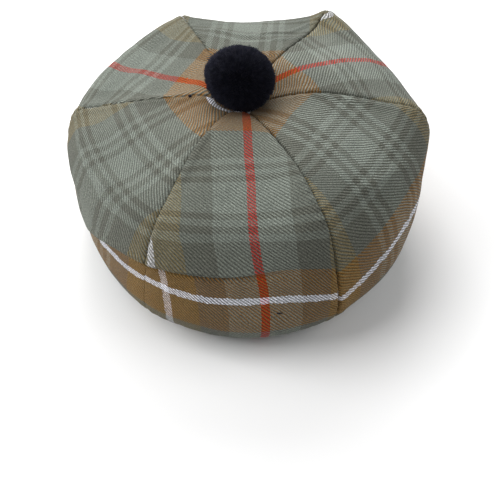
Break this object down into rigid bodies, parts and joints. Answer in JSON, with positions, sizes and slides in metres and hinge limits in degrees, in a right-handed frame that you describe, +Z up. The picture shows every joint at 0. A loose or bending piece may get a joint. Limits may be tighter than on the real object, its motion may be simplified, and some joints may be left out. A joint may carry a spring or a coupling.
{
  "type": "tam o'shanter",
  "caption": "Round flat-topped tartan cap of sewn gores gathered onto an inner head band, with a soft lining and a wool pompom on the crown.",
  "frame": {"origin": "under the middle of the hat's outline, at the floor that its head band rests on", "axes": "+Z up through the crown, -Y towards the wearer's front, +X to the wearer's left"},
  "size_m": [0.2776, 0.269, 0.1496],
  "materials": {
    "tartan_wool": "twill woven in muted blue-grey, brown, black, white and red checks",
    "band_cotton": "matt",
    "lining_satin": "satin",
    "pompom_wool": "matt, dense cut yarn"
  },
  "bodies": {
    "root": {"panel_front": "tartan_wool", "panel_front_left": "tartan_wool", "panel_back_left": "tartan_wool", "panel_back": "tartan_wool", "panel_back_right": "tartan_wool", "panel_front_right": "tartan_wool", "headband": "band_cotton", "lining": "lining_satin", "pompom": "pompom_wool"}
  },
  "joints": []
}
